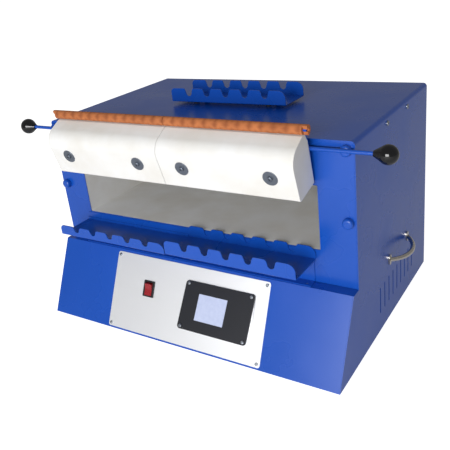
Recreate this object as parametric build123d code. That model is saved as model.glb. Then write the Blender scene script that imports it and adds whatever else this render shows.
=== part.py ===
from build123d import *
import os
from math import asin, atan2, cos, degrees, hypot, radians, sin

# Electric bead-annealing kiln with two flip-up front doors.
# Millimetres. +X is the viewer's right, +Y the back, +Z up.
# While pieces are made, y = 0 is the front panel's face and z = 0 the underside of the case.
# The last section stands the whole kiln on its feet with its centre over the origin.

# Case
case_width = 635.0
case_height = 389.5
case_depth = 383.4
sheet = 1.5
wrap_bend_r = 7.0
flange_reach = 12.0
panel_fit = 0.2
cut_over = 2.0

# Control box that stands forward under the doors
box_reach = 91.2
box_height = 140.0
ledge_depth = 21.2
foot_return = 18.0

# Front panel and its opening
panel_gap_bottom = 0.5
top_lip_height = 11.0
top_lip_gap = 1.2
opening_side = 63.5
opening_bottom = 200.8
opening_drop = 76.1
opening_corner_r = 1.5

# Fibre lining
fibre_clear = 0.3
wall_fibre_end = 3.5
roof_fibre = 50.0
roof_air_gap = 12.2
back_fibre = 45.0
back_air_gap = 19.1
header_depth = 40.0
header_clear = 0.7

# Heating element, laid in grooves in the roof
coil_r = 3.5
groove_width = 12.0
groove_depth = 10.0
coil_wall_gap = 26.0
coil_first_y = 42.0
coil_back_gap = 30.8
coil_runs = 6
coil_turn_r = 9.0
tail_near_inset = 28.0
tail_far_outset = 18.0
tail_end_gap = 8.0
terminal_r = 7.0
terminal_length = 9.0
lead_r = 1.6
lead_slot = 12.0
lead_straight = 40.0
lead_turn_r = 12.0

# Thermocouple
probe_x = 60.0
probe_drop = 7.0
probe_r = 3.0
probe_reach = 30.0
probe_head = (22.0, 11.0, 14.0)
probe_head_corner_r = 2.0

# Doors, given as they hang straight down from the hinge: y back, z up from the pin.
# The shares are parts of the sleeve's drop below the pin.
door_side_gap = 2.0
door_seam = 0.8
hinge_rise = 3.6
plate_outer = -0.1
plate_thickness = 2.0
plate_share = 0.7655
block_top_drop = 4.0
block_face_top = (53.8, -0.8)
block_crease_y = 59.9
block_crease_share = 0.7783
block_crease_r_share = 0.276
block_toe_y = 16.0
block_toe_share = 0.911
block_edge_r = 4.0
sleeve_y = 11.0
sleeve_floor_gap = 14.7
sleeve_r = 8.0
sleeve_fit = 0.2
sleeve_side_fit = 0.4
bead_r = 3.0
bead_fit = 0.1
bead_inset = 3.0
sleeve_overhang = 9.0
rod_r = 3.175
rod_share = 0.6069
rod_start = 40.0
knob_overhang = 54.0
knob_r = 15.0
knob_neck_r = 4.6
knob_neck_reach = 21.3
knob_blend_angle = 51.5
knob_bore = 12.0

# Piano hinges
knuckle_r = 3.2
leaf_thickness = 1.2
leaf_width = 15.0
pin_r = 1.2
pin_clearance = 0.05
knuckle_gap = 0.3
hinge_inset = 6.0
hinge_knuckles = 10

# Door stops
stop_inset = 11.5
stop_low_rise = 1.6
stop_high_sink = 3.3
stop_r = 9.0
stop_shank_r = 1.8
stop_reach = 9.6
stop_gap = 0.3

# Washers that hold the fibre blocks
washer_r = 12.7
washer_thickness = 1.3
washer_hole_r = 2.4
washer_edge_r = 0.5
washer_share = 0.404
washer_seam_inset = 46.7
washer_end_inset = 42.1
block_screw_length = 45.0

# Rod rests
rest_length = 254.0
rest_depth = 76.0
rest_sheet = 1.5
rest_notches = 5
notch_r = 6.6
notch_mouth_half = 9.6
notch_depth = 15.0
notch_shallow_depth = 11.5
notch_corner_r = 4.0
rest_end_small_r = 8.5
rest_end_large_r = 14.0
rest_bend_r = 2.0
rest_seam = 2.0
rest_seam_x = -9.0
rest_left_floor = 182.0
rest_left_front = 20.2
rest_left_back = 6.5
rest_right_floor = 183.5
rest_right_front = 27.0
rest_right_back = 22.8
rest_top_flange = 27.0
rest_top_x = 2.5
rest_top_y = 190.0
rest_standoff = 6.5
rest_spacer_r = 5.0
rest_spacer_inset_x = 45.0
rest_spacer_inset_y = 19.0
rest_plate_top = 199.0
rest_foot_depth = 19.0
rest_screw_reach = 13.0
rest_plate_inset = 4.0
rest_screw_x = -3.0
rest_screw_pitch = 236.0

# Control panel face: x across, s up the slope from its foot
faceplate_size = (342.0, 148.0)
faceplate_s = 77.5
faceplate_thickness = 1.0
faceplate_corner_r = 4.5
faceplate_screw_inset = 6.2
faceplate_screw_length = 6.0
controller_x = 73.4
controller_s = 81.4
controller_rise = 9.6
controller_tilt = 8.0
controller_size = (145.0, 88.7)
controller_corner_r = 6.0
controller_thickness = 2.2
controller_screw_spacing = (131.8, 78.5)
controller_screw_length = 17.0
controller_cut = (112.0, 68.0)
wedge_inset = 1.2
wedge_wall = 1.5
wedge_post_r = 4.6
screen_x = -9.6
screen_size = (60.4, 47.9)
screen_recess = 0.4
screen_corner_r = 0.6
board_size = (134.0, 82.0)
board_thickness = 1.6
board_drop = 20.0
standoff_r = 3.5
display_size = (70.0, 56.0, 8.0)
display_neck = (40.0, 30.0)
board_relay = (20.0, 16.0, 14.0)
board_relay_places = ((45.0, 18.0), (45.0, -14.0))
board_plug = (9.0, 44.0, 14.0)
board_plug_x = -50.0

# Rocker switch
switch_x = -84.4
switch_s = 91.5
bezel_size = (25.4, 31.2)
bezel_height = 2.0
bezel_corner_r = 1.5
bezel_edge_r = 0.6
switch_body_size = (21.8, 27.0, 24.0)
rocker_size = (15.8, 24.6)
rocker_clear = 0.4
rocker_depth = 9.0
rocker_pivot_depth = 6.0
rocker_tilt = 9.0
rocker_rise = 2.5
rocker_valley = 0.4
rocker_end_lean = 1.2
rocker_foot_half = 3.2
rocker_foot = 3.0
rocker_pin_r = 1.5
rocker_pin_reach = 1.6
pin_fit = 0.08
terminal_blade = (6.3, 0.8, 9.0)
blade_xs = (-6.0, 6.0)
blade_steps = (-8.0, 0.0, 8.0)

# Screws: head radius, head height, shank radius
small_screw = (3.1, 1.9, 1.5)
panel_screw = (4.2, 2.4, 2.0)
washer_screw = (4.4, 2.6, 2.2)
screw_fit = 0.15

# Sides
vent_count = 9
vent_width = 4.0
vent_length = 52.0
vent_first_y = 102.7
vent_pitch = 23.3
vent_bottom = 36.0
handle_y = 202.3
handle_z = 120.5
handle_spacing = 103.0
handle_reach = 25.0
handle_droop = 3.0
handle_root = 1.5
handle_mid_r = 4.4
handle_end_r = 3.8
handle_pad = (11.5, 20.0, 3.0)
handle_screw_inset = 1.5
handle_bore = 4.5
side_screw_y = (145.3, 253.5)
side_screw_z = 376.0
side_screw_length = 3.0

# Back
back_corner_r = 7.0
back_screw_low = 30.0
back_screw_length = 6.0
inlet_side = 84.0
inlet_z = 52.0
inlet_flange = (60.0, 32.0, 3.0)
inlet_body = (36.0, 26.0, 30.0)
inlet_cavity = (29.0, 20.0, 24.0)
inlet_screw_pitch = 48.0
inlet_pin = (2.0, 8.0, 17.0)
inlet_pin_pitch = 10.0
inlet_corner_r = 3.0

# Feet and inner electrics
foot_r = 13.0
foot_height = 8.0
foot_inset_x = 48.0
foot_inset_y = 46.0
foot_recess = 4.0
foot_recess_clear = 1.2
foot_edge_r = 1.5
transformer_place = (190.0, 120.0)
transformer_core = (66.0, 30.0, 56.0)
transformer_coil = (46.0, 52.0, 36.0)
transformer_ear = 12.0
transformer_foot = 2.0
transformer_corner_r = 5.0
relay_place = (60.0, 210.0)
relay_body = (50.0, 44.0, 58.0)
relay_foot = (68.0, 44.0, 4.0)
relay_corner_r = 2.0
block_x = -190.0
block_behind = 131.9
block_body = (92.0, 26.0, 22.0)
block_ways = 6
block_rib = (1.6, 6.0)

# Values that follow from the ones above
half_inside = case_width / 2 - sheet
panel_bottom = box_height + panel_gap_bottom
panel_top = case_height - top_lip_height - top_lip_gap
deck_top = panel_bottom + sheet
opening_top = case_height - opening_drop
chamber_half = case_width / 2 - opening_side
chamber_top = case_height - sheet - roof_air_gap - roof_fibre
fibre_half = half_inside - wall_fibre_end + sheet
fibre_front = sheet + fibre_clear
back_face = case_depth - sheet
fibre_back = back_face - back_air_gap
chamber_back = fibre_back - back_fibre
coil_run_half = chamber_half - coil_wall_gap
coil_pitch = (chamber_back - coil_back_gap - coil_first_y) / (coil_runs - 1)
tail_near_x = tail_near_inset - coil_run_half
tail_far_x = -coil_run_half - tail_far_outset
stop_x = half_inside - stop_inset
inlet_x = inlet_side - half_inside
block_place = (block_x, back_face - block_behind)
door_half_width = chamber_half - door_side_gap
hinge_height = opening_top + hinge_rise
hinge_y = -knuckle_r
sleeve_drop = hinge_height - opening_bottom - sleeve_floor_gap
sleeve_centre = (sleeve_y, -sleeve_drop)
plate_drop = plate_share * sleeve_drop
rod_drop = rod_share * sleeve_drop
block_crease = (block_crease_y, -block_crease_share * sleeve_drop)
block_toe = (block_toe_y, -block_toe_share * sleeve_drop)
block_crease_r = block_crease_r_share * sleeve_drop
washer_drop = washer_share * sleeve_drop
washer_xs = (washer_seam_inset, door_half_width - washer_end_inset)
knob_centre_x = case_width / 2 + knob_overhang
knuckle_pitch = (door_half_width - door_seam / 2 - 2 * hinge_inset) / hinge_knuckles
stop_heights = (hinge_height - rod_drop + stop_low_rise, hinge_height + rod_drop - stop_high_sink)
plate_inner = plate_outer + plate_thickness
rod_y = plate_outer - rod_r
foot_return_y = -box_reach + foot_return
slope_angle = degrees(atan2(box_reach - ledge_depth, box_height))
slope_out = (0, -cos(radians(slope_angle)), sin(radians(slope_angle)))
slope = Plane(origin=(0, -box_reach, 0), x_dir=(1, 0, 0), z_dir=slope_out)

# Both stops meet the rod at the same reach, which sets the open and closed angles.
rod_end = knob_centre_x - knob_neck_reach + knob_bore
rod_swing_r = hypot(rod_y, rod_drop)
rod_lean = degrees(atan2(rod_y, rod_drop))
stop_lean = degrees(asin((stop_reach + rod_r + hinge_y) / rod_swing_r))
door_open_angle = rod_lean + 180 - stop_lean
door_closed_angle = rod_lean + stop_lean
door_travel = door_open_angle - door_closed_angle

parts = {}


def block(x, y, z):
    """A box between two x, two y and two z values."""
    centre = Pos((x[0] + x[1]) / 2, (y[0] + y[1]) / 2, (z[0] + z[1]) / 2)
    return centre * Box(abs(x[1] - x[0]), abs(y[1] - y[0]), abs(z[1] - z[0]))


def facing(point, direction):
    """The place of a piece drawn flat, turned so that its top looks along direction."""
    across = Vector(0, 0, 1).cross(Vector(direction))
    if across.length < 0.001:
        across = Vector(1, 0, 0)
    return Plane(origin=point, x_dir=across, z_dir=direction).location


def on_slope(x, s, out=0.0):
    """A place on the control panel's face."""
    return slope.location * Pos(x, s, out)


def on_controller(x, d, out=0.0):
    """A place on the controller's face, which lies further back than the slope."""
    lean = Rotation(-controller_tilt, 0, 0)
    return on_slope(controller_x, controller_s, controller_rise) * lean * Pos(x, d, out)


def other_side(piece):
    return mirror(piece, about=Plane.YZ)


def rounded_plate(size, thickness, corner_r):
    """A flat plate with round corners, standing on z = 0."""
    return extrude(RectangleRounded(size[0], size[1], corner_r), thickness)


def pan_screw(sizes, length):
    """A cross-head screw whose head stands on z = 0, with its shank below."""
    head_r, head_h, shank_r = sizes
    head = Pos(0, 0, head_h / 2) * Cylinder(head_r, head_h)
    head = fillet(head.edges().sort_by(Axis.Z)[-1], head_h * 0.55)
    shank = Pos(0, 0, -length / 2) * Cylinder(shank_r, length)
    slot_length = head_r * 1.1
    slot_width = head_r * 0.26
    slot_depth = head_h * 0.5
    cross = Box(slot_length, slot_width, slot_depth) + Box(slot_width, slot_length, slot_depth)
    return head + shank - Pos(0, 0, head_h - slot_depth / 2) * cross


def screw_hole(sizes, length):
    """The hole that a screw's shank needs, through z = 0."""
    return Cylinder(sizes[2] + screw_fit, 2 * length)


def group(pieces):
    """Separate solids that share one node."""
    return Compound(children=list(pieces))


def case_side_outline():
    """The side sheets' outline in the Y-Z plane."""
    points = [
        (-box_reach, 0),
        (back_face, 0),
        (back_face, case_height),
        (0, case_height),
        (0, box_height),
        (-ledge_depth, box_height),
    ]
    return make_face(Polyline(*points, close=True))


# Side places shared by the wrap and what is fastened to it.
def vent_ys():
    return [vent_first_y + vent_pitch * i for i in range(vent_count)]


def handle_screw_places():
    reach = handle_spacing / 2 - handle_screw_inset
    return [(handle_y - reach, handle_z), (handle_y + reach, handle_z)]


def side_screw_places():
    return [(y, side_screw_z) for y in side_screw_y]


# Wrap: top and both sides, one folded sheet.
def make_case_wrap():
    length = back_face + box_reach
    middle = (back_face - box_reach) / 2
    outer = Pos(0, middle, case_height / 2) * Box(case_width, length, case_height)
    top_edges = outer.edges().filter_by(Axis.Y).group_by(Axis.Z)[-1]
    outer = fillet(top_edges, wrap_bend_r)
    inner_height = case_height - sheet
    inner = Pos(0, middle, inner_height / 2) * Box(2 * half_inside, length + cut_over, inner_height)
    inner_edges = inner.edges().filter_by(Axis.Y).group_by(Axis.Z)[-1]
    inner = fillet(inner_edges, wrap_bend_r - sheet)
    side_prism = extrude(Plane.YZ * case_side_outline(), case_width, both=True)
    wrap = (outer - inner) & side_prism
    # The front hem of the top sheet, folded down.
    lip = block((-half_inside, half_inside), (0, sheet), (case_height - top_lip_height, case_height))
    wrap += lip & outer
    # Rear flanges that carry the back panel.
    rear_y = (back_face - sheet, back_face)
    rear = block((-half_inside, half_inside), rear_y, (0, case_height - sheet)) & inner
    rear_hole_half = half_inside - flange_reach
    rear_hole_top = case_height - sheet - flange_reach
    rear -= block((-rear_hole_half, rear_hole_half), (0, case_depth), (-cut_over, rear_hole_top))
    wrap += rear
    for x in (-half_inside, half_inside):
        for y in vent_ys():
            vent = SlotCenterToCenter(vent_length - vent_width, vent_width, rotation=90)
            slot = extrude(vent, 2 * sheet, both=True)
            wrap -= facing((x, y, vent_bottom + vent_length / 2), (1, 0, 0)) * slot
        for y, z in handle_screw_places() + side_screw_places():
            wrap -= facing((x, y, z), (1, 0, 0)) * screw_hole(panel_screw, 3 * sheet)
    for x, z in back_screw_places():
        wrap -= facing((x, back_face, z), (0, 1, 0)) * screw_hole(panel_screw, 2 * sheet)
    for x, y in top_rest_screw_places():
        wrap -= Pos(x, y, case_height) * screw_hole(panel_screw, 2 * sheet)
    return wrap


def back_screw_places():
    far_x = half_inside - flange_reach / 2
    top_z = case_height - sheet - flange_reach / 2
    rows = (back_screw_low, case_height / 2, top_z)
    sides = [(x, z) for x in (-far_x, far_x) for z in rows]
    return sides + [(0, top_z)]


# Front panel with the chamber's opening, and returns folded back all round.
def make_front_panel():
    half = half_inside - panel_fit
    face = block((-half, half), (0, sheet), (panel_bottom, panel_top))
    returns_y = (0, sheet + flange_reach)
    rim = block((-half, half), returns_y, (panel_bottom, panel_top))
    rim_hole_z = (panel_bottom + sheet, panel_top - sheet)
    rim -= block((-half + sheet, half - sheet), (-cut_over, case_depth), rim_hole_z)
    opening_y = (-cut_over, sheet + cut_over)
    opening = block((-chamber_half, chamber_half), opening_y, (opening_bottom, opening_top))
    opening = fillet(opening.edges().filter_by(Axis.Y), opening_corner_r)
    panel = face + rim - opening
    for x in (-stop_x, stop_x):
        for z in stop_heights:
            panel -= facing((x, 0, z), (0, -1, 0)) * Cylinder(stop_shank_r + pin_fit, 2 * sheet + cut_over)
    return panel


# Stops: short round-headed studs that the handle rods come to rest on.
def make_stop_bolts():
    reach = stop_reach - stop_gap
    head = Pos(0, 0, reach / 2) * Cylinder(stop_r, reach)
    head = fillet(head.edges().sort_by(Axis.Z)[-1], stop_r * 0.45)
    stud = head + Pos(0, 0, -sheet / 2) * Cylinder(stop_shank_r, sheet)
    places = [(x, z) for x in (-stop_x, stop_x) for z in stop_heights]
    return group(facing((x, 0, z), (0, -1, 0)) * stud for x, z in places)


# Back panel, laid over the wrap's rear flanges.
def make_back_panel():
    size = (case_width - 4 * sheet, case_height - 4 * sheet)
    plate = rounded_plate(size, sheet, back_corner_r)
    panel = facing((0, back_face, case_height / 2), (0, 1, 0)) * plate
    for x, z in back_screw_places():
        panel -= facing((x, case_depth, z), (0, 1, 0)) * screw_hole(panel_screw, 2 * sheet)
    inlet_hole = (inlet_body[0] + 2 * panel_fit, inlet_body[1] + 2 * panel_fit)
    hole = Box(inlet_hole[0], 6 * sheet, inlet_hole[1])
    panel -= Pos(inlet_x, back_face, inlet_z) * hole
    for x, z in inlet_screw_places():
        panel -= facing((x, case_depth, z), (0, 1, 0)) * screw_hole(small_screw, 2 * sheet)
    return panel


def inlet_screw_places():
    return [(inlet_x + side * inlet_screw_pitch / 2, inlet_z) for side in (-1, 1)]


def make_back_screws():
    large = pan_screw(panel_screw, back_screw_length)
    small = pan_screw(small_screw, back_screw_length)
    seat = case_depth + inlet_flange[2]
    screws = [facing((x, case_depth, z), (0, 1, 0)) * large for x, z in back_screw_places()]
    screws += [facing((x, seat, z), (0, 1, 0)) * small for x, z in inlet_screw_places()]
    return group(screws)


# Mains inlet on the back: a flanged socket with three flat pins.
def make_power_inlet():
    flange = rounded_plate((inlet_flange[0], inlet_flange[1]), inlet_flange[2], inlet_corner_r)
    body = Pos(0, 0, -inlet_body[2] / 2) * Box(*inlet_body)
    cavity_top = inlet_flange[2]
    cavity = Pos(0, 0, cavity_top - inlet_cavity[2] / 2) * Box(*inlet_cavity)
    cavity = fillet(cavity.edges().filter_by(Axis.Z), inlet_corner_r)
    inlet = flange + body - cavity
    for side in (-1, 1):
        hole = screw_hole(small_screw, inlet_flange[2] + cut_over)
        inlet -= Pos(side * inlet_screw_pitch / 2, 0, 0) * hole
    inlet = facing((inlet_x, case_depth, inlet_z), (0, 1, 0)) * inlet
    return inlet


def make_inlet_pins():
    pins = []
    floor = inlet_flange[2] - inlet_cavity[2]
    for step in (-1, 0, 1):
        pin = Box(inlet_pin[0], inlet_pin[1], inlet_pin[2])
        pins.append(Pos(step * inlet_pin_pitch, 0, floor + inlet_pin[2] / 2) * pin)
    return group(facing((inlet_x, case_depth, inlet_z), (0, 1, 0)) * pin for pin in pins)


# Base pan between the side sheets, with upturned edges.
def foot_places():
    front = -box_reach + foot_inset_y
    rear = case_depth - foot_inset_y
    far_x = case_width / 2 - foot_inset_x
    return [(x, y) for x in (-far_x, far_x) for y in (front, rear)]


def make_base_pan():
    half = half_inside - panel_fit
    y = (foot_return_y, back_face - 2 * sheet)
    pan = block((-half, half), y, (0, flange_reach))
    pan -= block((-half + sheet, half - sheet), (-case_depth, 2 * case_depth), (sheet, case_height))
    for x, y in foot_places():
        pan -= Pos(x, y, 0) * screw_hole(panel_screw, 2 * sheet)
    return pan


def make_feet():
    foot = Pos(0, 0, -foot_height / 2) * Cylinder(foot_r, foot_height)
    foot = fillet(foot.edges().sort_by(Axis.Z)[0], foot_edge_r)
    recess_r = panel_screw[0] + foot_recess_clear
    foot -= Pos(0, 0, -foot_height + foot_recess / 2) * Cylinder(recess_r, foot_recess)
    foot -= screw_hole(panel_screw, foot_height)
    return group(Pos(x, y, 0) * foot for x, y in foot_places())


def make_foot_screws():
    seat = -foot_height + foot_recess
    screw = pan_screw(panel_screw, foot_height)
    return group(facing((x, y, seat), (0, 0, -1)) * screw for x, y in foot_places())


# Deck: the sheet between the hot chamber and the electrics below it.
def make_deck_sheet():
    half = half_inside - panel_fit
    y = (sheet + flange_reach + panel_fit, back_face - 2 * sheet)
    deck = block((-half, half), y, (deck_top - flange_reach, deck_top))
    deck -= block((-half + sheet, half - sheet), (-case_depth, 2 * case_depth), (0, deck_top - sheet))
    for x in (tail_near_x, tail_far_x, probe_x):
        slot_x = (x - lead_slot / 2, x + lead_slot / 2)
        deck -= block(slot_x, (fibre_back + sheet, case_depth), (0, case_height))
    return deck


# Fibre lining: floor, two side walls, back wall and roof slabs.
def make_floor_fibre():
    return block((-fibre_half, fibre_half), (fibre_front, fibre_back), (deck_top, opening_bottom))


def make_side_fibre():
    wall = block((chamber_half, fibre_half), (fibre_front, chamber_back), (opening_bottom, chamber_top))
    return group([wall, other_side(wall)])


def make_back_fibre():
    wall = block((-fibre_half, fibre_half), (chamber_back, fibre_back), (opening_bottom, chamber_top))
    hole = facing((probe_x, fibre_back, chamber_top - probe_drop), (0, 1, 0))
    return wall - hole * Cylinder(probe_r + screw_fit, 3 * back_fibre)


def coil_ys():
    return [coil_first_y + coil_pitch * i for i in range(coil_runs)]


def make_roof_fibre():
    roof_z = (chamber_top, chamber_top + roof_fibre)
    roof = block((-fibre_half, fibre_half), (fibre_front, fibre_back), roof_z)
    header_x = (-chamber_half + fibre_clear, chamber_half - fibre_clear)
    header_z = (opening_top + header_clear, chamber_top)
    roof += block(header_x, (fibre_front, header_depth - groove_width), header_z)
    half = groove_width / 2
    z = (chamber_top, chamber_top + groove_depth)
    ys = coil_ys()
    for y in ys:
        roof -= block((-coil_run_half - half, coil_run_half + half), (y - half, y + half), z)
    for i in range(coil_runs - 1):
        # The run furthest back leads to the right, and each turn swaps sides.
        side = 1 if (coil_runs - 1 - i) % 2 == 1 else -1
        x = side * coil_run_half
        roof -= block((x - half, x + half), (ys[i] - half, ys[i + 1] + half), z)
    roof -= block((tail_near_x - half, tail_near_x + half), (ys[-1], case_depth), z)
    roof -= block((tail_far_x - half, tail_far_x + half), (ys[0] - half, case_depth), z)
    roof -= block((tail_far_x - half, -coil_run_half), (ys[0] - half, ys[0] + half), z)
    return roof


# Heating element: one long coil, drawn as its outer shape, that runs back and forth in the grooves.
def make_heating_element():
    ys = coil_ys()
    rear = back_face - tail_end_gap
    points = [(tail_near_x, rear)]
    side = -1
    points.append((tail_near_x, ys[-1]))
    for i in range(coil_runs - 1, -1, -1):
        side = -side
        end_x = side * coil_run_half if i else tail_far_x
        points.append((end_x, ys[i]))
        if i:
            points.append((end_x, ys[i - 1]))
    points.append((tail_far_x, rear))
    depth = chamber_top + groove_depth - coil_r - fibre_clear
    path = FilletPolyline(*[(x, y, depth) for x, y in points], radius=coil_turn_r)
    section = Plane(origin=path @ 0, z_dir=path % 0) * Circle(coil_r)
    return sweep(section, path)


def make_element_terminals():
    z = chamber_top + groove_depth - coil_r - fibre_clear
    post = Cylinder(terminal_r, terminal_length) - Cylinder(coil_r, 2 * terminal_length)
    middle = fibre_back + terminal_length / 2
    return group(facing((x, middle, z), (0, 1, 0)) * post for x in (tail_near_x, tail_far_x))


# Leads from the element's terminals down to the terminal block.
def make_element_leads():
    z_top = chamber_top + groove_depth - coil_r - fibre_clear - terminal_r
    y = fibre_back + terminal_length / 2
    block_top = sheet + block_body[2]
    leads = []
    for x, way in ((tail_near_x, 1), (tail_far_x, -1)):
        end_x = block_place[0] + way * block_body[0] / (2 * block_ways)
        end_y = block_place[1]
        points = [
            (x, y, z_top),
            (x, y, deck_top - lead_straight),
            (end_x, end_y, block_top + lead_straight),
            (end_x, end_y, block_top),
        ]
        path = FilletPolyline(*points, radius=lead_turn_r)
        section = Plane(origin=path @ 0, z_dir=path % 0) * Circle(lead_r)
        leads.append(sweep(section, path))
    return group(leads)


# Thermocouple probe through the back wall, with a ceramic head.
def make_thermocouple():
    length = back_fibre + probe_reach + probe_head[1] / 2
    z = chamber_top - probe_drop
    probe = Cylinder(probe_r, length)
    probe = fillet(probe.edges().sort_by(Axis.Z)[0], probe_r * 0.8)
    middle = chamber_back - probe_reach + length / 2
    return facing((probe_x, middle, z), (0, 1, 0)) * probe


def make_thermocouple_head():
    z = chamber_top - probe_drop
    y = fibre_back + probe_head[1] / 2
    head = Pos(probe_x, y, z) * Box(*probe_head)
    head = fillet(head.edges().filter_by(Axis.Y), probe_head_corner_r)
    return head - make_thermocouple()


# Control panel: the sloping front of the box and the ledge on top of it.
def make_control_panel():
    half = half_inside - panel_fit
    inner_foot_y = -box_reach + sheet / cos(radians(slope_angle))
    inner_top_z = box_height - sheet
    lean = (box_reach - ledge_depth) / box_height
    inner_top_y = inner_foot_y + inner_top_z * lean
    tail_y = sheet + flange_reach
    points = [
        (-box_reach, 0),
        (foot_return_y, 0),
        (foot_return_y, sheet),
        (inner_foot_y + sheet * lean, sheet),
        (inner_top_y, inner_top_z),
        (tail_y, inner_top_z),
        (tail_y, box_height),
        (-ledge_depth, box_height),
    ]
    outline = make_face(Polyline(*points, close=True))
    panel = extrude(Plane.YZ * outline, half, both=True)
    panel -= on_slope(controller_x, controller_s) * Box(controller_cut[0], controller_cut[1], 6 * sheet)
    body = (switch_body_size[0] + 2 * panel_fit, switch_body_size[1] + 2 * panel_fit)
    panel -= on_slope(switch_x, switch_s) * Box(body[0], body[1], 6 * sheet)
    for x, s in faceplate_screw_places():
        panel -= on_slope(x, s) * screw_hole(small_screw, 2 * sheet)
    for x, d in controller_screw_places():
        panel -= on_controller(x, d) * screw_hole(small_screw, board_drop)
    for x in rest_screw_xs():
        panel -= Pos(x, -rest_screw_reach, box_height) * screw_hole(panel_screw, 2 * sheet)
    return panel


def faceplate_screw_places():
    across = faceplate_size[0] / 2 - faceplate_screw_inset
    up = faceplate_size[1] / 2 - faceplate_screw_inset
    return [(x, faceplate_s + s) for x in (-across, across) for s in (-up, up)]


def controller_screw_places():
    across = controller_screw_spacing[0] / 2
    up = controller_screw_spacing[1] / 2
    return [(x, d) for x in (-across, across) for d in (-up, up)]


def make_faceplate():
    plate = rounded_plate(faceplate_size, faceplate_thickness, faceplate_corner_r)
    plate = on_slope(0, faceplate_s) * plate
    plate -= on_slope(controller_x, controller_s) * Box(controller_cut[0], controller_cut[1], 6 * sheet)
    body = (switch_body_size[0] + 2 * panel_fit, switch_body_size[1] + 2 * panel_fit)
    plate -= on_slope(switch_x, switch_s) * Box(body[0], body[1], 6 * sheet)
    for x, s in faceplate_screw_places():
        plate -= on_slope(x, s) * screw_hole(small_screw, 2 * sheet)
    for x, d in controller_screw_places():
        plate -= on_controller(x, d) * screw_hole(small_screw, board_drop)
    return plate


def make_faceplate_screws():
    short = pan_screw(small_screw, faceplate_screw_length)
    long = pan_screw(small_screw, controller_screw_length)
    screws = [on_slope(x, s, faceplate_thickness) * short for x, s in faceplate_screw_places()]
    screws += [on_controller(x, d) * long for x, d in controller_screw_places()]
    return group(screws)


# Controller: a black plate with a touch screen, on a wedge that tips it back,
# and its board on standoffs behind the panel.
def above_controller(height):
    """All of the space in front of a level of the controller."""
    space = Box(2 * controller_size[0], 2 * controller_size[0], 2 * controller_size[0])
    return on_controller(0, 0, height + controller_size[0]) * space


def make_controller_wedge():
    size = (controller_size[0] - 2 * wedge_inset, controller_size[1] - 2 * wedge_inset)
    hollow = (size[0] - 2 * wedge_wall, size[1] - 2 * wedge_wall)
    tall = controller_size[1]
    frame = rounded_plate(size, tall, controller_corner_r)
    frame -= rounded_plate(hollow, tall, controller_corner_r - wedge_wall)
    wedge = on_slope(controller_x, controller_s, faceplate_thickness) * frame
    middle = on_slope(controller_x, controller_s, faceplate_thickness + tall / 2)
    front = middle * Box(2 * tall, 2 * tall, tall)
    for x, d in controller_screw_places():
        wedge += on_controller(x, d) * Cylinder(wedge_post_r, tall) & front
    wedge -= above_controller(-controller_thickness)
    for x, d in controller_screw_places():
        wedge -= on_controller(x, d) * screw_hole(small_screw, board_drop)
    return wedge


def make_controller_plate():
    plate = rounded_plate(controller_size, controller_thickness, controller_corner_r)
    plate -= Pos(screen_x, 0, 0) * Box(screen_size[0], screen_size[1], 6 * sheet)
    for x, d in controller_screw_places():
        plate -= Pos(x, d, 0) * screw_hole(small_screw, 2 * sheet)
    return on_controller(0, 0, -controller_thickness) * plate


def make_controller_screen():
    glass = rounded_plate(screen_size, controller_thickness - screen_recess, screen_corner_r)
    return on_controller(screen_x, 0, -controller_thickness) * glass


def make_controller_board():
    board = Box(board_size[0], board_size[1], board_thickness)
    unit = Pos(0, 0, -board_drop - board_thickness / 2) * board
    display_z = -controller_thickness - display_size[2] / 2
    unit += Pos(screen_x, 0, display_z) * Box(*display_size)
    neck_height = board_drop - controller_thickness - display_size[2]
    unit += Pos(screen_x, 0, -board_drop + neck_height / 2) * Box(*display_neck, neck_height)
    under = -board_drop - board_thickness
    for x, y in board_relay_places:
        unit += Pos(x, y, under - board_relay[2] / 2) * Box(*board_relay)
    unit += Pos(board_plug_x, 0, under - board_plug[2] / 2) * Box(*board_plug)
    hole = screw_hole(small_screw, board_size[1])
    for x, d in controller_screw_places():
        unit -= Pos(x, d, 0) * hole
    return on_controller(0, 0) * unit


def make_controller_standoffs():
    behind = on_slope(controller_x, controller_s, -sheet - board_size[1] / 2)
    space = behind * Box(2 * board_size[0], 2 * board_size[0], board_size[1])
    tube = Cylinder(standoff_r, board_drop) - screw_hole(small_screw, board_drop)
    posts = []
    for x, d in controller_screw_places():
        posts += (on_controller(x, d, -board_drop / 2) * tube & space).solids()
    return group(posts)


# Rocker switch: bezel and body in one moulding, a rocker on side pins, and blades behind.
def rocker_opening():
    return (rocker_size[0] + 2 * rocker_clear, rocker_size[1] + 2 * rocker_clear)


def make_switch_body():
    bezel = rounded_plate(bezel_size, bezel_height, bezel_corner_r)
    bezel = fillet(bezel.faces().sort_by(Axis.Z)[-1].edges(), bezel_edge_r)
    body = Pos(0, 0, -switch_body_size[2] / 2) * Box(*switch_body_size)
    well_depth = rocker_depth + rocker_pivot_depth
    opening = rocker_opening()
    well_top = bezel_height + cut_over
    well = block((0, opening[0]), (0, opening[1]), (well_top - well_depth, well_top))
    unit = bezel + body - Pos(-opening[0] / 2, -opening[1] / 2, 0) * well
    pin_hole = Cylinder(rocker_pin_r + pin_fit, rocker_size[0] + 2 * (rocker_pin_reach + rocker_clear))
    unit -= Pos(0, 0, -rocker_pivot_depth) * Rotation(0, 90, 0) * pin_hole
    return on_slope(switch_x, switch_s, faceplate_thickness) * unit


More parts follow.
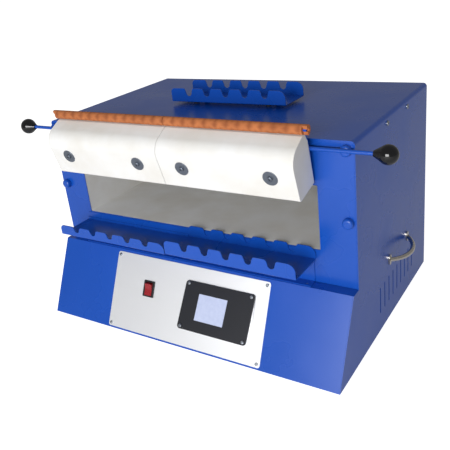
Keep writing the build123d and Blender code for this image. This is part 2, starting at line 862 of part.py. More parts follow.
def make_switch_rocker():
    half_length = rocker_size[1] / 2
    lift = bezel_height + rocker_pivot_depth
    # The ends lean in above the pivot so that neither end strikes the well as it tilts.
    points = [
        (-half_length, bezel_height),
        (-half_length + rocker_end_lean / 2, rocker_pivot_depth),
        (-half_length + rocker_end_lean, lift + rocker_rise),
        (0, lift + rocker_valley),
        (half_length - rocker_end_lean, lift + rocker_rise),
        (half_length - rocker_end_lean / 2, rocker_pivot_depth),
        (half_length, bezel_height),
        (rocker_foot_half, -rocker_foot),
        (-rocker_foot_half, -rocker_foot),
    ]
    outline = make_face(Polyline(*points, close=True))
    rocker = extrude(Plane.YZ * outline, rocker_size[0] / 2, both=True)
    pin = Rotation(0, 90, 0) * Cylinder(rocker_pin_r, rocker_size[0] + 2 * rocker_pin_reach)
    rocker += pin
    rocker = Rotation(rocker_tilt, 0, 0) * rocker
    return on_slope(switch_x, switch_s, faceplate_thickness - rocker_pivot_depth) * rocker


def make_switch_blades():
    out = faceplate_thickness - switch_body_size[2] - terminal_blade[2] / 2
    blades = []
    for x in blade_xs:
        for s in blade_steps:
            blades.append(on_slope(switch_x + x, switch_s + s, out) * Box(*terminal_blade))
    return group(blades)


# Rod rests: folded trays whose flanges carry notches for glass-working rods.
def notch_outline(x, top, depth):
    """A round-bottomed notch that widens to its mouth, drawn in the X-Z plane."""
    waist = top - depth + notch_r
    bowl = Pos(x, waist) * Circle(notch_r)
    corners = [
        (x - notch_r, waist),
        (x + notch_r, waist),
        (x + notch_mouth_half, top),
        (x - notch_mouth_half, top),
    ]
    return bowl + make_face(Polyline(*corners, close=True))


def notched_flange(height, depth):
    """One flange with its corners rounded, drawn in the X-Z plane from z = 0."""
    face = Pos(rest_length / 2, height / 2) * Rectangle(rest_length, height)
    pitch = rest_length / (rest_notches + 1)
    for i in range(rest_notches):
        face -= notch_outline(pitch * (i + 1), height, depth)
    top = face.vertices().group_by(Axis.Y)[-1].sort_by(Axis.X)
    mouths = list(top)[1:-1]
    face = fillet(mouths, notch_corner_r)
    top = face.vertices().group_by(Axis.Y)[-1].sort_by(Axis.X)
    face = fillet(top[0], rest_end_small_r)
    top = face.vertices().group_by(Axis.Y)[-1].sort_by(Axis.X)
    face = fillet(top[-1], rest_end_large_r)
    return extrude(Plane.XZ * face, -rest_sheet)


def rod_rest(front_height, back_height, depth, back_notched):
    """A tray with its front face on y = 0 and its underside on z = 0."""
    floor = block((0, rest_length), (0, rest_depth), (0, rest_sheet))
    front = notched_flange(front_height, depth)
    if back_notched:
        back = notched_flange(back_height, depth)
    else:
        back = block((0, rest_length), (0, rest_sheet), (0, back_height))
    rest = floor + front + Pos(0, rest_depth - rest_sheet, 0) * back
    bends = rest.edges().filter_by(Axis.X).group_by(Axis.Z)[0]
    return fillet(bends, rest_bend_r)


def rest_front_y():
    return -sheet - rest_depth


def make_rod_rest_left():
    x = rest_seam_x - rest_seam / 2 - rest_length
    rest = rod_rest(rest_left_front, rest_left_back, notch_shallow_depth, False)
    return Pos(x, rest_front_y(), rest_left_floor) * rest


def make_rod_rest_right():
    x = rest_seam_x + rest_seam / 2
    rest = rod_rest(rest_right_front, rest_right_back, notch_depth, True)
    return Pos(x, rest_front_y(), rest_right_floor) * rest


def top_rest_screw_places():
    across = rest_length / 2 - rest_spacer_inset_x
    along = rest_depth / 2 - rest_spacer_inset_y
    return [(rest_top_x + x, rest_top_y + y) for x in (-across, across) for y in (-along, along)]


def make_rod_rest_top():
    corner = (rest_top_x - rest_length / 2, rest_top_y - rest_depth / 2, case_height + rest_standoff)
    rest = Pos(*corner) * rod_rest(rest_top_flange, rest_top_flange, notch_depth, True)
    for x, y in top_rest_screw_places():
        rest -= Pos(x, y, corner[2]) * screw_hole(panel_screw, 2 * rest_sheet)
    return rest


def make_top_rest_spacers():
    spacer = Pos(0, 0, rest_standoff / 2) * Cylinder(rest_spacer_r, rest_standoff)
    spacer -= screw_hole(panel_screw, rest_standoff)
    return group(Pos(x, y, case_height) * spacer for x, y in top_rest_screw_places())


def make_top_rest_screws():
    # These come from inside the case and end level with the tray's floor.
    screw = pan_screw(panel_screw, sheet + rest_standoff + rest_sheet)
    seat = case_height - sheet
    return group(facing((x, y, seat), (0, 0, -1)) * screw for x, y in top_rest_screw_places())


# Rest plate: an angle on the front panel that carries both front rests.
def rest_screw_xs():
    return [rest_screw_x + rest_screw_pitch * step for step in (-1, 0, 1)]


def make_rest_plate():
    half = rest_length + rest_seam / 2 - rest_plate_inset
    x = (rest_seam_x - half, rest_seam_x + half)
    upright = block(x, (-sheet, 0), (box_height, rest_plate_top))
    foot = block(x, (-rest_foot_depth, 0), (box_height, box_height + sheet))
    plate = upright + foot
    for screw_x in rest_screw_xs():
        plate -= Pos(screw_x, -rest_screw_reach, box_height) * screw_hole(panel_screw, 2 * sheet)
    return plate


def make_rest_plate_screws():
    # These come from inside the box and end level with the plate's foot.
    screw = pan_screw(panel_screw, 2 * sheet)
    seat = box_height - sheet
    return group(facing((x, -rest_screw_reach, seat), (0, 0, -1)) * screw for x in rest_screw_xs())


# Doors, drawn hanging straight down from the pin, then swung up to rest on the upper stops.
def door_place(angle):
    return Pos(0, hinge_y, hinge_height) * Rotation(-angle, 0, 0)


def swung_open(piece):
    return door_place(door_open_angle) * piece


def door_x():
    return (door_seam / 2, door_half_width)


def across_door(outline, x):
    """Stretch an outline of the Y-Z plane along the door."""
    return Pos(x[0], 0, 0) * extrude(Plane.YZ * outline, x[1] - x[0])


def behind_panel_face():
    """The space that the front panel takes beside its opening, seen from the closed door."""
    x = (chamber_half - sleeve_side_fit, case_width)
    space = block(x, (-sleeve_side_fit, case_depth), (0, case_height))
    return door_place(door_closed_angle).inverse() * space


def make_door_plate():
    top = -(knuckle_r + knuckle_gap)
    flat = block(door_x(), (plate_outer, plate_inner), (-plate_drop, top))
    middle_y = (plate_outer + plate_inner) / 2
    lip_length = hypot(sleeve_centre[0] - middle_y, plate_drop + sleeve_centre[1])
    lip_lean = degrees(atan2(sleeve_centre[0] - middle_y, -plate_drop - sleeve_centre[1]))
    strip = block(door_x(), (-plate_thickness / 2, plate_thickness / 2), (-lip_length, bead_fit))
    lip = Pos(0, middle_y, -plate_drop) * Rotation(lip_lean, 0, 0) * strip
    bead_x = (door_seam / 2, door_half_width + sleeve_overhang - bead_inset)
    bead = across_door(Pos(*sleeve_centre) * Circle(bead_r), bead_x)
    return flat + lip + (bead - behind_panel_face())


def make_door_block():
    points = [
        (plate_inner, -block_top_drop),
        block_face_top,
        block_crease,
        block_toe,
        (plate_inner, block_toe[1]),
    ]
    outline = make_face(Polyline(*points, close=True))
    outline = fillet(outline.vertices().sort_by(Axis.X)[-1], block_crease_r)
    brow = outline.vertices().sort_by_distance((block_face_top[0], block_face_top[1], 0))[0]
    outline = fillet(brow, block_edge_r)
    outline -= Pos(*sleeve_centre) * Circle(sleeve_r + sleeve_fit)
    body = across_door(outline, door_x())
    for x in washer_xs:
        body -= block_face_place(x) * screw_hole(washer_screw, block_screw_length)
    body -= make_door_plate()
    # What is left outside the plate's lip goes.
    return body.solids().sort_by(SortBy.VOLUME)[-1]


def block_face_place(x):
    """A place on the hot face of the hanging block, washer_drop below the hinge."""
    run = block_crease[0] - block_face_top[0]
    fall = block_face_top[1] - block_crease[1]
    share = (-washer_drop - block_face_top[1]) / -fall
    y = block_face_top[0] + run * share
    return facing((x, y, -washer_drop), (0, fall, run))


def make_door_washers():
    washer = Pos(0, 0, washer_thickness / 2) * Cylinder(washer_r, washer_thickness)
    washer = fillet(washer.edges().sort_by(Axis.Z)[-1], washer_edge_r)
    washer -= Cylinder(washer_hole_r, 4 * washer_thickness)
    return group(block_face_place(x) * washer for x in washer_xs)


def make_door_screws():
    screw = Pos(0, 0, washer_thickness) * pan_screw(washer_screw, block_screw_length)
    return group(block_face_place(x) * screw for x in washer_xs)


def make_door_sleeve():
    ring = Pos(*sleeve_centre) * (Circle(sleeve_r) - Circle(bead_r + bead_fit))
    sleeve = across_door(ring, (door_seam / 2, door_half_width + sleeve_overhang))
    middle_y = (plate_outer + plate_inner) / 2
    lip_lean = degrees(atan2(sleeve_centre[0] - middle_y, -plate_drop - sleeve_centre[1]))
    slit_half = plate_thickness / 2 + bead_fit
    slit = block((0, door_half_width + bead_fit), (-slit_half, slit_half), (0, 3 * sleeve_r))
    sleeve -= Pos(0, *sleeve_centre) * Rotation(lip_lean, 0, 0) * slit
    return sleeve - behind_panel_face()


def make_handle_rod():
    rod = across_door(Circle(rod_r), (rod_start, rod_end))
    return Pos(0, rod_y, -rod_drop) * rod


def make_ball_knob():
    neck_end = knob_centre_x - knob_neck_reach
    ball = Pos(knob_centre_x, rod_y, -rod_drop) * Sphere(knob_r)
    tangent_x = knob_centre_x - knob_r * cos(radians(knob_blend_angle))
    tangent_r = knob_r * sin(radians(knob_blend_angle))
    cone = Cone(knob_neck_r, tangent_r, tangent_x - neck_end)
    middle = Pos((neck_end + tangent_x) / 2, rod_y, -rod_drop)
    knob = ball + middle * Rotation(0, 90, 0) * cone
    bore = across_door(Circle(rod_r), (neck_end - cut_over, rod_end))
    return knob - Pos(0, rod_y, -rod_drop) * bore


# Piano hinges: odd knuckles belong to the leaf on the panel, even ones to the door.
def knuckle_spans(turn):
    start = door_seam / 2 + hinge_inset
    spans = []
    for i in range(turn, hinge_knuckles, 2):
        x0 = start + knuckle_pitch * i + knuckle_gap / 2
        spans.append((x0, x0 + knuckle_pitch - knuckle_gap))
    return spans


def hinge_span():
    start = door_seam / 2 + hinge_inset
    return (start + knuckle_gap / 2, start + knuckle_pitch * hinge_knuckles - knuckle_gap / 2)


def hinge_leaf(turn, bore_r, sheet_y, sheet_z):
    """A leaf with its knuckles around the pin, cut back where the other leaf's knuckles turn."""
    leaf = block(hinge_span(), sheet_y, sheet_z)
    for x in knuckle_spans(1 - turn):
        wide = (x[0] - knuckle_gap, x[1] + knuckle_gap)
        reach = knuckle_r + knuckle_gap
        leaf -= block(wide, (-reach, reach), (-reach, reach))
    for x in knuckle_spans(turn):
        leaf += across_door(Circle(knuckle_r), x)
    bore = across_door(Circle(bore_r), (0, 2 * door_half_width))
    return leaf - bore


def make_fixed_leaf():
    leaf = hinge_leaf(0, pin_r, (knuckle_r - leaf_thickness, knuckle_r), (0, leaf_width))
    leaf = Pos(0, hinge_y, hinge_height) * leaf
    return group([leaf, other_side(leaf)])


def make_moving_leaf():
    sheet_y = (plate_outer - leaf_thickness, plate_outer)
    return hinge_leaf(1, pin_r + pin_clearance, sheet_y, (-leaf_width, 0))


def make_hinge_pins():
    pin = across_door(Circle(pin_r), hinge_span())
    pin = Pos(0, hinge_y, hinge_height) * pin
    return group([pin, other_side(pin)])


# Side handles: bowed pulls with leaf-shaped ends, screwed to the side sheets.
def make_side_handle():
    half = handle_spacing / 2
    face = case_width / 2
    root = face + handle_root
    points = [(root, -half, 0), (face + handle_reach, 0, -handle_droop), (root, half, 0)]
    path = ThreePointArc(*[(x, handle_y + y, handle_z + z) for x, y, z in points])
    sections = []
    for share, radius in ((0.0, handle_end_r), (0.5, handle_mid_r), (1.0, handle_end_r)):
        place = Plane(origin=path @ share, z_dir=path % share)
        sections.append(place * Circle(radius))
    bow = sweep(sections=sections, path=path, multisection=True)
    bow &= block((face, face + 2 * handle_reach), (0, case_depth), (0, case_height))
    handle = bow
    for end in (-half, half):
        pad = extrude(Ellipse(handle_pad[0] / 2, handle_pad[1] / 2), handle_pad[2])
        handle += facing((face, handle_y + end, handle_z), (1, 0, 0)) * pad
    for y, z in handle_screw_places():
        handle -= facing((face, y, z), (1, 0, 0)) * Cylinder(small_screw[2], 2 * handle_bore)
    return handle


def make_side_screws():
    outside = pan_screw(panel_screw, side_screw_length)
    inside = pan_screw(small_screw, sheet + handle_bore)
    face = case_width / 2
    right = [facing((face, y, z), (1, 0, 0)) * outside for y, z in side_screw_places()]
    # The handles' screws come from inside the case.
    right += [facing((half_inside, y, z), (-1, 0, 0)) * inside for y, z in handle_screw_places()]
    return group(right + [other_side(piece) for piece in right])


# Electrics on the base pan.
def make_transformer():
    x, y = transformer_place
    core = Pos(x, y, sheet + transformer_core[2] / 2) * Box(*transformer_core)
    coil = Pos(x, y, sheet + transformer_core[2] / 2) * Box(*transformer_coil)
    coil = fillet(coil.edges().filter_by(Axis.Z), transformer_corner_r)
    foot_size = (transformer_core[0] + 2 * transformer_ear, transformer_core[1], transformer_foot)
    foot = Pos(x, y, sheet + transformer_foot / 2) * Box(*foot_size)
    return core + coil + foot


def make_power_relay():
    x, y = relay_place
    foot = Pos(x, y, sheet + relay_foot[2] / 2) * Box(*relay_foot)
    body = Pos(x, y, sheet + relay_foot[2] + relay_body[2] / 2) * Box(*relay_body)
    body = fillet(body.edges().filter_by(Axis.Z), relay_corner_r)
    return foot + body


def make_terminal_block():
    x, y = block_place
    body = Pos(x, y, sheet + block_body[2] / 2) * Box(*block_body)
    way = block_body[0] / block_ways
    for i in range(block_ways + 1):
        wall_x = x - block_body[0] / 2 + way * i
        rib = Box(block_rib[0], block_body[1], block_rib[1])
        body += Pos(wall_x, y, sheet + block_body[2] + block_rib[1] / 2) * rib
    return body


def make_all():
    parts["case_wrap"] = make_case_wrap()
    parts["front_panel"] = make_front_panel()
    parts["back_panel"] = make_back_panel()
    parts["back_screws"] = make_back_screws()
    parts["base_pan"] = make_base_pan()
    parts["deck_sheet"] = make_deck_sheet()
    parts["feet"] = make_feet()
    parts["foot_screws"] = make_foot_screws()
    parts["stop_bolts"] = make_stop_bolts()
    parts["power_inlet"] = make_power_inlet()
    parts["inlet_pins"] = make_inlet_pins()
    parts["floor_fibre"] = make_floor_fibre()
    parts["side_fibre"] = make_side_fibre()
    parts["back_fibre"] = make_back_fibre()
    parts["roof_fibre"] = make_roof_fibre()
    parts["heating_element"] = make_heating_element()
    parts["element_terminals"] = make_element_terminals()
    parts["element_leads"] = make_element_leads()
    parts["thermocouple"] = make_thermocouple()
    parts["thermocouple_head"] = make_thermocouple_head()
    parts["control_panel"] = make_control_panel()
    parts["faceplate"] = make_faceplate()
    parts["faceplate_screws"] = make_faceplate_screws()
    parts["controller_wedge"] = make_controller_wedge()
    parts["controller_plate"] = make_controller_plate()
    parts["controller_screen"] = make_controller_screen()
    parts["controller_board"] = make_controller_board()
    parts["controller_standoffs"] = make_controller_standoffs()
    parts["switch_body"] = make_switch_body()
    parts["switch_rocker"] = make_switch_rocker()
    parts["switch_blades"] = make_switch_blades()
    parts["rest_plate"] = make_rest_plate()
    parts["rest_plate_screws"] = make_rest_plate_screws()
    parts["rod_rest_left"] = make_rod_rest_left()
    parts["rod_rest_right"] = make_rod_rest_right()
    parts["rod_rest_top"] = make_rod_rest_top()
    parts["top_rest_spacers"] = make_top_rest_spacers()
    parts["top_rest_screws"] = make_top_rest_screws()
    parts["hinge_fixed_leaves"] = make_fixed_leaf()
    parts["hinge_pins"] = make_hinge_pins()
    parts["side_handle_right"] = make_side_handle()
    parts["side_handle_left"] = other_side(parts["side_handle_right"])
    parts["side_screws"] = make_side_screws()
    parts["transformer"] = make_transformer()
    parts["power_relay"] = make_power_relay()
    parts["terminal_block"] = make_terminal_block()
    door = {
        "door_plate": make_door_plate(),
        "door_block": make_door_block(),
        "door_fasteners": group([make_door_washers(), make_door_screws()]),
        "door_sleeve": make_door_sleeve(),
        "handle_rod": make_handle_rod(),
        "ball_knob": make_ball_knob(),
        "door_hinge_leaf": make_moving_leaf(),
    }
    for name, piece in door.items():
        right = swung_open(piece)
        parts[name + "_right"] = right
        parts[name + "_left"] = other_side(right)


make_all()

# Stand the kiln on its feet, with the middle of its outer box over the origin.
whole = Compound(children=[Compound(children=piece.solids()) for piece in parts.values()])
extent = whole.bounding_box()
shift = Pos(-extent.center().X, -extent.center().Y, -extent.min.Z)
print("origin shift", [round(v, 4) for v in (-extent.center().X, -extent.center().Y, -extent.min.Z)])
print("door travel", round(door_travel, 3), "hinge", round(hinge_y, 3), hinge_height)

os.makedirs("parts", exist_ok=True)
for name, piece in parts.items():
    solids = [shift * solid for solid in piece.solids()]
    export_step(Compound(children=solids) if len(solids) > 1 else solids[0], f"parts/{name}.step")
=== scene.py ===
from math import pi, radians
import bpy
from mathutils import Matrix, Vector

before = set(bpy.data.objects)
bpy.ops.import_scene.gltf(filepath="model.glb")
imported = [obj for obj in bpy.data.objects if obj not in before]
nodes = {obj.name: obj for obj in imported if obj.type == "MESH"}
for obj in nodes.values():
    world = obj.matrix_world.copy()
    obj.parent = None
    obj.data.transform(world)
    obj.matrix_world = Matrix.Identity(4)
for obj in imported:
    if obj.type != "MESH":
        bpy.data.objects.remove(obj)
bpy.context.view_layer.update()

# Camera: it looks at the kiln from the front right and a little above.
# Its place and tilt are those of the photograph; the shift sets the picture's centre.
camera_place = Vector((0.6387, -0.9711, 0.6751))
camera_forward = Vector((-0.5238, 0.7662, -0.3723)).normalized()
camera_down = Vector((0.1159, -0.3689, -0.9222))
camera_right = camera_down.cross(camera_forward).normalized()
camera_up = camera_right.cross(camera_forward)
camera_data = bpy.data.cameras.new("camera")
camera_data.sensor_width = 36.0
camera_data.lens = 49.54
camera_data.shift_x = 0.0025
camera_data.shift_y = -0.0564
camera = bpy.data.objects.new("camera", camera_data)
camera_axes = Matrix((camera_right, camera_up, -camera_forward)).transposed()
camera.matrix_world = Matrix.Translation(camera_place) @ camera_axes.to_4x4()
bpy.context.collection.objects.link(camera)
bpy.context.scene.camera = camera


# Studio: a plain white floor and an even surround, which the camera sees as white.
# They light the kiln less than they show, so that its coat keeps its depth of colour.
# One soft box stands in front of the kiln, a little to the right and above it.
def linear(hex_colour):
    """The linear RGBA colour of an sRGB hex value."""
    values = [int(hex_colour[i:i + 2], 16) / 255 for i in (0, 2, 4)]
    spread = [v / 12.92 if v <= 0.04045 else ((v + 0.055) / 1.055) ** 2.4 for v in values]
    return (*spread, 1.0)


def add_node(tree, kind, sockets=None, **settings):
    """A node with its settings, and its sockets set to values or joined to other sockets."""
    node = tree.nodes.new(kind)
    for name, value in settings.items():
        setattr(node, name, value)
    for name, value in (sockets or {}).items():
        if isinstance(value, bpy.types.NodeSocket):
            tree.links.new(value, node.inputs[name])
        else:
            node.inputs[name].default_value = value
    return node


def new_material(name):
    """A new material, its tree, its shader and the object's own coordinates."""
    material = bpy.data.materials.new(name)
    material.use_nodes = True
    tree = material.node_tree
    shader = tree.nodes["Principled BSDF"]
    place = add_node(tree, "ShaderNodeTexCoord").outputs["Object"]
    return material, tree, shader, place


def glow_by_ray(tree, strength_socket, on_kiln, to_camera):
    """Give a stage surface one strength for the light on the kiln and one for the camera."""
    ray = add_node(tree, "ShaderNodeLightPath")
    strength = add_node(tree, "ShaderNodeMapRange", {
        "Value": ray.outputs["Is Camera Ray"], "To Min": on_kiln, "To Max": to_camera})
    tree.links.new(strength.outputs[0], strength_socket)


def soft_light(name, place, target, size, power):
    """A rectangular soft box that faces its target."""
    data = bpy.data.lights.new(name, "AREA")
    data.shape = "RECTANGLE"
    data.size, data.size_y = size
    data.energy = power
    light = bpy.data.objects.new(name, data)
    light.location = place
    light.rotation_euler = (Vector(target) - Vector(place)).to_track_quat("-Z", "Y").to_euler()
    bpy.context.collection.objects.link(light)


floor_size = 30.0
bpy.ops.mesh.primitive_plane_add(size=floor_size)
floor = bpy.context.object
floor.name = "studio_floor"
floor_material, tree, shader, place = new_material("matt_white_paint")
shader.inputs["Base Color"].default_value = linear("F4F4F4")
shader.inputs["Roughness"].default_value = 0.9
shader.inputs["Emission Color"].default_value = linear("FFFFFF")
glow_by_ray(tree, shader.inputs["Emission Strength"], on_kiln=0.1, to_camera=0.85)
floor.data.materials.append(floor_material)

world = bpy.data.worlds.new("studio")
world.use_nodes = True
background = world.node_tree.nodes["Background"]
background.inputs["Color"].default_value = linear("FFFFFF")
glow_by_ray(world.node_tree, background.inputs["Strength"], on_kiln=0.29, to_camera=1.2)
bpy.context.scene.world = world
bpy.context.scene.view_settings.view_transform = "Standard"

soft_box_place = (0.45, -2.6, 0.8)
kiln_middle = (0, 0, 0.2)
soft_box_size = (1.6, 1.0)
soft_box_watts = 64
soft_light("front_soft_box", soft_box_place, kiln_middle, soft_box_size, soft_box_watts)


# Case, door plates, rests, stops and handle rods: steel with a glossy blue powder coat.
# The coat levels to a fine orange peel, and its colour and gloss wander a little.
def repeats_per_metre(repeat_mm):
    """The scale of a noise texture whose grain has this size."""
    return 1000 / repeat_mm


def finish_with(material, *names):
    """Give CAD pieces a material in place of the plain one that they came with."""
    for name in names:
        nodes[name].data.materials.clear()
        nodes[name].data.materials.append(material)


orange_peel_mm = 2.2
orange_peel_depth = 0.0002
coat_clouds_per_metre = 9.0
powder_coat, tree, shader, place = new_material("gloss_blue_powder_coat")
peel = add_node(tree, "ShaderNodeTexNoise", {
    "Vector": place, "Scale": repeats_per_metre(orange_peel_mm), "Detail": 2.0})
cloud = add_node(tree, "ShaderNodeTexNoise", {
    "Vector": place, "Scale": coat_clouds_per_metre, "Detail": 3.0})
tone = add_node(tree, "ShaderNodeMix", {
    0: cloud.outputs["Fac"], 6: linear("0A45A2"), 7: linear("0F4CAE")}, data_type="RGBA")
roughness = add_node(tree, "ShaderNodeMapRange", {
    "Value": cloud.outputs["Fac"], "From Min": 0.3, "From Max": 0.7,
    "To Min": 0.24, "To Max": 0.32})
bump = add_node(tree, "ShaderNodeBump", {
    "Height": peel.outputs["Fac"], "Strength": 0.12, "Distance": orange_peel_depth})
tree.links.new(tone.outputs[2], shader.inputs["Base Color"])
tree.links.new(roughness.outputs[0], shader.inputs["Roughness"])
tree.links.new(bump.outputs[0], shader.inputs["Normal"])
finish_with(
    powder_coat, "case_wrap", "front_panel", "back_panel", "base_pan", "control_panel",
    "rest_plate", "rod_rest_left", "rod_rest_right", "rod_rest_top", "stop_bolts",
    "door_plate_left", "door_plate_right", "handle_rod_left", "handle_rod_right")

# Chamber lining and door blocks: vacuum-formed ceramic fibre, soft white with a felted grain.
# Heat has left faint warm clouds on it.
fibre_grain_mm = 1.6
fibre_grain_depth = 0.0004
heat_clouds_per_metre = 14.0
fibre, tree, shader, place = new_material("ceramic_fibre_board")
grain = add_node(tree, "ShaderNodeTexNoise", {
    "Vector": place, "Scale": repeats_per_metre(fibre_grain_mm),
    "Detail": 6.0, "Roughness": 0.7})
stain = add_node(tree, "ShaderNodeTexNoise", {
    "Vector": place, "Scale": heat_clouds_per_metre, "Detail": 4.0})
warmth = add_node(tree, "ShaderNodeMapRange", {
    "Value": stain.outputs["Fac"], "From Min": 0.35, "From Max": 0.75})
tone = add_node(tree, "ShaderNodeMix", {
    0: warmth.outputs[0], 6: linear("DEDEDD"), 7: linear("D2CFC8")}, data_type="RGBA")
bump = add_node(tree, "ShaderNodeBump", {
    "Height": grain.outputs["Fac"], "Strength": 0.35, "Distance": fibre_grain_depth})
tree.links.new(tone.outputs[2], shader.inputs["Base Color"])
tree.links.new(bump.outputs[0], shader.inputs["Normal"])
shader.inputs["Roughness"].default_value = 0.95
finish_with(
    fibre, "floor_fibre", "side_fibre", "back_fibre", "roof_fibre",
    "door_block_left", "door_block_right")

# Door sleeves: silica sleeve with a rust brown coating over the free edge of each door.
# Two crossed sets of waves stand for its braid. They repeat far more coarsely than real
# strands, so that they show in the picture.
braid_repeat_mm = 16.336
braid_lean_degrees = 38
braid_depth = 0.0006
scorch_marks_per_metre = 26.0
sleeve, tree, shader, place = new_material("braided_silica_sleeve")
wave_phase_per_unit = 20
wave_scale = 2 * pi * repeats_per_metre(braid_repeat_mm) / wave_phase_per_unit
strands = []
for lean in (braid_lean_degrees, -braid_lean_degrees):
    turned = add_node(tree, "ShaderNodeMapping", {
        "Vector": place, "Rotation": (0, radians(lean), 0)})
    wave = add_node(tree, "ShaderNodeTexWave", {
        "Vector": turned.outputs[0], "Scale": wave_scale, "Distortion": 1.2,
        "Detail": 2.0, "Detail Scale": 3.0})
    strands.append(wave.outputs["Fac"])
braid = add_node(tree, "ShaderNodeMath", {0: strands[0], 1: strands[1]}, operation="MAXIMUM")
scorch = add_node(tree, "ShaderNodeTexNoise", {
    "Vector": place, "Scale": scorch_marks_per_metre, "Detail": 5.0})
scorched_braid = add_node(tree, "ShaderNodeMath", {
    0: braid.outputs[0], 1: scorch.outputs["Fac"]}, operation="MULTIPLY")
tone = add_node(tree, "ShaderNodeMix", {
    0: scorched_braid.outputs[0], 6: linear("8A4A24"), 7: linear("C87A46")}, data_type="RGBA")
bump = add_node(tree, "ShaderNodeBump", {
    "Height": braid.outputs[0], "Strength": 0.6, "Distance": braid_depth})
tree.links.new(tone.outputs[2], shader.inputs["Base Color"])
tree.links.new(bump.outputs[0], shader.inputs["Normal"])
shader.inputs["Roughness"].default_value = 0.85
finish_with(sleeve, "door_sleeve_left", "door_sleeve_right")

# Faceplate and the wedge under the controller: brushed stainless sheet.
# Its brushing runs along the kiln's width, and fine lines catch the light.
brushed_line_mm = 0.8
brushed_line_stretch = 0.02
brushed_line_depth = 0.0001
stainless, tree, shader, place = new_material("brushed_stainless_steel")
stretched = add_node(tree, "ShaderNodeMapping", {
    "Vector": place, "Scale": (brushed_line_stretch, 1.0, 1.0)})
lines = add_node(tree, "ShaderNodeTexNoise", {
    "Vector": stretched.outputs[0], "Scale": repeats_per_metre(brushed_line_mm),
    "Detail": 3.0})
roughness = add_node(tree, "ShaderNodeMapRange", {
    "Value": lines.outputs["Fac"], "To Min": 0.34, "To Max": 0.48})
bump = add_node(tree, "ShaderNodeBump", {
    "Height": lines.outputs["Fac"], "Strength": 0.08, "Distance": brushed_line_depth})
tree.links.new(roughness.outputs[0], shader.inputs["Roughness"])
tree.links.new(bump.outputs[0], shader.inputs["Normal"])
shader.inputs["Base Color"].default_value = linear("F1F2F4")
shader.inputs["Metallic"].default_value = 0.7
finish_with(stainless, "faceplate", "controller_wedge")


# Screws, hinges, standoffs, deck and transformer: zinc-plated steel.
# Plating leaves faint clouds in its grey and in its gloss.
def grained_material(name, dark, light, grain_mm, roughness, metallic=0.0, depth_mm=0.1):
    """A material whose colour and roughness wander between two values at the grain's size."""
    material, tree, shader, place = new_material(name)
    grain = add_node(tree, "ShaderNodeTexNoise", {
        "Vector": place, "Scale": repeats_per_metre(grain_mm),
        "Detail": 4.0, "Roughness": 0.6}).outputs["Fac"]
    tone = add_node(tree, "ShaderNodeMix", {
        0: grain, 6: linear(dark), 7: linear(light)}, data_type="RGBA")
    spread = add_node(tree, "ShaderNodeMapRange", {
        "Value": grain, "From Min": 0.3, "From Max": 0.7,
        "To Min": roughness[0], "To Max": roughness[1]})
    bump = add_node(tree, "ShaderNodeBump", {
        "Height": grain, "Strength": 0.2, "Distance": depth_mm / 1000})
    tree.links.new(tone.outputs[2], shader.inputs["Base Color"])
    tree.links.new(spread.outputs[0], shader.inputs["Roughness"])
    tree.links.new(bump.outputs[0], shader.inputs["Normal"])
    shader.inputs["Metallic"].default_value = metallic
    return material


zinc_plate = grained_material(
    "zinc_plated_steel", dark="8C929B", light="B0B4B9", grain_mm=2.5,
    roughness=(0.24, 0.46), metallic=1.0)
finish_with(
    zinc_plate, "back_screws", "foot_screws", "rest_plate_screws", "top_rest_screws",
    "side_screws", "faceplate_screws", "hinge_fixed_leaves", "hinge_pins",
    "door_hinge_leaf_left", "door_hinge_leaf_right", "controller_standoffs",
    "transformer", "deck_sheet")

# Door fasteners: large washers with a screw in each, which clamp the fibre blocks.
# Heat and handling have dulled their plating to a dark grey.
washer_steel = grained_material(
    "worn_plated_washer_steel", dark="626A76", light="8E949E", grain_mm=1.2,
    roughness=(0.3, 0.55), metallic=1.0, depth_mm=0.2)
finish_with(washer_steel, "door_fasteners_left", "door_fasteners_right")

# Ball knobs on the ends of the handle rods: moulded black phenolic with a polished skin.
# They show small, sharp highlights.
knob_phenolic = grained_material(
    "black_phenolic_knob", dark="050506", light="0C0C0E", grain_mm=3.0,
    roughness=(0.05, 0.12))
finish_with(knob_phenolic, "ball_knob_left", "ball_knob_right")

# Side handles: bowed pull handles with a bright nickel plate, screwed to the case's sides.
# The plate is nearly a mirror, with soft clouds from polishing.
nickel_plate = grained_material(
    "bright_nickel_plate", dark="A9A39A", light="D6D1C7", grain_mm=3.5,
    roughness=(0.12, 0.3), metallic=1.0, depth_mm=0.2)
finish_with(nickel_plate, "side_handle_left", "side_handle_right")

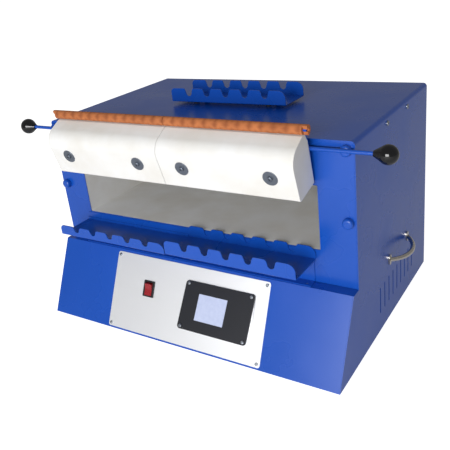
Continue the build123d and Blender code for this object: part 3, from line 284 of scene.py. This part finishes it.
# Controller: a dark plate with a matt plastic overlay around a screen, and its circuit board.
# The screen is glass over a pale blue display, and it is smooth enough to mirror the room.
overlay = grained_material(
    "matt_polycarbonate_overlay", dark="121319", light="1C1E26", grain_mm=1.0,
    roughness=(0.36, 0.46))
finish_with(overlay, "controller_plate")
screen_glass = grained_material(
    "touch_screen_glass", dark="AEB8D6", light="C6CEE6", grain_mm=6.0,
    roughness=(0.06, 0.1), depth_mm=0.02)
finish_with(screen_glass, "controller_screen")
board_laminate = grained_material(
    "green_glass_epoxy_laminate", dark="0B3A20", light="14532F", grain_mm=1.1,
    roughness=(0.3, 0.45))
finish_with(board_laminate, "controller_board")

# Power switch, inlet and relay: black nylon mouldings with brass contacts.
# The rocker is red nylon with a smoother face than the bodies.
black_nylon = grained_material(
    "moulded_black_nylon", dark="0B0B0D", light="17171A", grain_mm=0.9,
    roughness=(0.32, 0.48))
finish_with(black_nylon, "switch_body", "power_inlet", "power_relay")
red_nylon = grained_material(
    "moulded_red_nylon", dark="7E141B", light="9C2229", grain_mm=1.2,
    roughness=(0.2, 0.32))
finish_with(red_nylon, "switch_rocker")
brass = grained_material(
    "drawn_brass", dark="A8853F", light="C9A75C", grain_mm=1.5,
    roughness=(0.22, 0.4), metallic=1.0)
finish_with(brass, "inlet_pins", "switch_blades")

# Feet and the spacers under the top rest: moulded black nitrile rubber.
# It is dull, with a faint bloom on the black. On the spacers the black is also painted shade:
# it stands in for the dark shadow in the gap under the raised top rest.
rubber_and_painted_shade = grained_material(
    "black_nitrile_rubber_and_painted_shade", dark="101011", light="1D1D1E", grain_mm=1.4,
    roughness=(0.7, 0.88), depth_mm=0.3)
finish_with(rubber_and_painted_shade, "feet", "top_rest_spacers")

# Heating element and thermocouple: resistance wire with a dark oxide skin from its heat.
# Their leads have a glass braid, and their terminals and heads are glazed steatite.
element_wire = grained_material(
    "oxidised_resistance_wire", dark="3E3835", light="6A615B", grain_mm=1.3,
    roughness=(0.5, 0.75), metallic=0.6, depth_mm=0.2)
finish_with(element_wire, "heating_element", "thermocouple")
glass_braid = grained_material(
    "glass_braid_lead", dark="B9B4A6", light="DCD8CC", grain_mm=1.1,
    roughness=(0.75, 0.9), depth_mm=0.3)
finish_with(glass_braid, "element_leads")
steatite = grained_material(
    "glazed_steatite", dark="DCD7CA", light="F0ECE2", grain_mm=2.2,
    roughness=(0.18, 0.32))
finish_with(steatite, "element_terminals", "thermocouple_head", "terminal_block")
